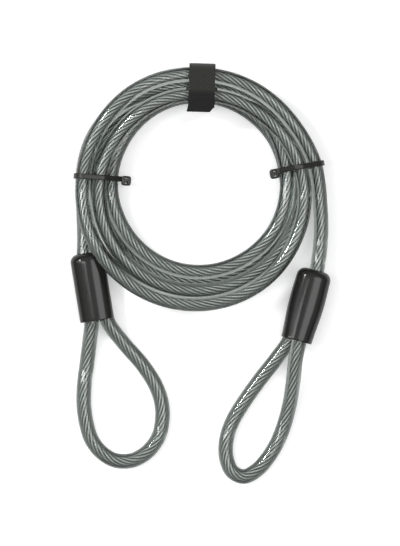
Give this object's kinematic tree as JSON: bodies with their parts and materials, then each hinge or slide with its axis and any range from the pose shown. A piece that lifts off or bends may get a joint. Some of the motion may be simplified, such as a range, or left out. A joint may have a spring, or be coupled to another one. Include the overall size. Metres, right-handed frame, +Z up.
{
  "type": "cable lock",
  "caption": "Coated steel security cable with a looped eye at each end, coiled for storage and held by cable ties and a hook-and-loop strap.",
  "frame": {"origin": "middle of the footprint, on the surface that the coiled cable lies on", "axes": "+Z up from that surface; +Y from the two eyes towards the strap; +X to the right, seen from above"},
  "size_m": [0.1753, 0.2838, 0.0345],
  "materials": {
    "jacket": "clear smoky grey-green soft PVC, glossy",
    "wire_core": "galvanised strands, right-hand lay",
    "ferrule": "pressed, plain",
    "boot": "black moulded soft plastic, glossy",
    "cable_tie": "black nylon, satin",
    "hook_tape": "black woven tape with moulded hooks",
    "loop_tape": "black woven tape with a short pile"
  },
  "bodies": {
    "coil": {"coil_jacket": "jacket", "coil_wire_core": "wire_core", "left_cable_tie": "cable_tie", "right_cable_tie": "cable_tie", "strap_hook_tape": "hook_tape", "strap_loop_tape": "loop_tape"},
    "left_end": {"left_lead_jacket": "jacket", "left_lead_wire_core": "wire_core", "left_boot": "boot", "left_ferrule": "ferrule", "left_eye_jacket": "jacket", "left_eye_wire_core": "wire_core"},
    "right_end": {"right_lead_jacket": "jacket", "right_lead_wire_core": "wire_core", "right_boot": "boot", "right_ferrule": "ferrule", "right_eye_jacket": "jacket", "right_eye_wire_core": "wire_core"},
    "strap_tab": {"strap_tab_hook_tape": "hook_tape", "strap_tab_loop_tape": "loop_tape"}
  },
  "joints": [
    {"name": "left_end_swing", "type": "hinge", "parent": "coil", "child": "left_end", "pos_m": [-0.0794, 0.06, 0.0088], "axis": [0, 0, 1], "range_deg": [-12, 0], "stiffness_Nm_per_rad": 1.3, "deforming": ["left_lead_jacket", "left_lead_wire_core"]},
    {"name": "right_end_swing", "type": "hinge", "parent": "coil", "child": "right_end", "pos_m": [0.0795, 0.06, 0.0134], "axis": [0, 0, 1], "range_deg": [-8, 12], "stiffness_Nm_per_rad": 1.3, "deforming": ["right_lead_jacket", "right_lead_wire_core"]},
    {"name": "strap_tab_peel", "type": "hinge", "parent": "coil", "child": "strap_tab", "pos_m": [0.00066, 0.11603, 0.03283], "axis": [-0.9996, 0.0297, 0], "range_deg": [0, 85]}
  ]
}
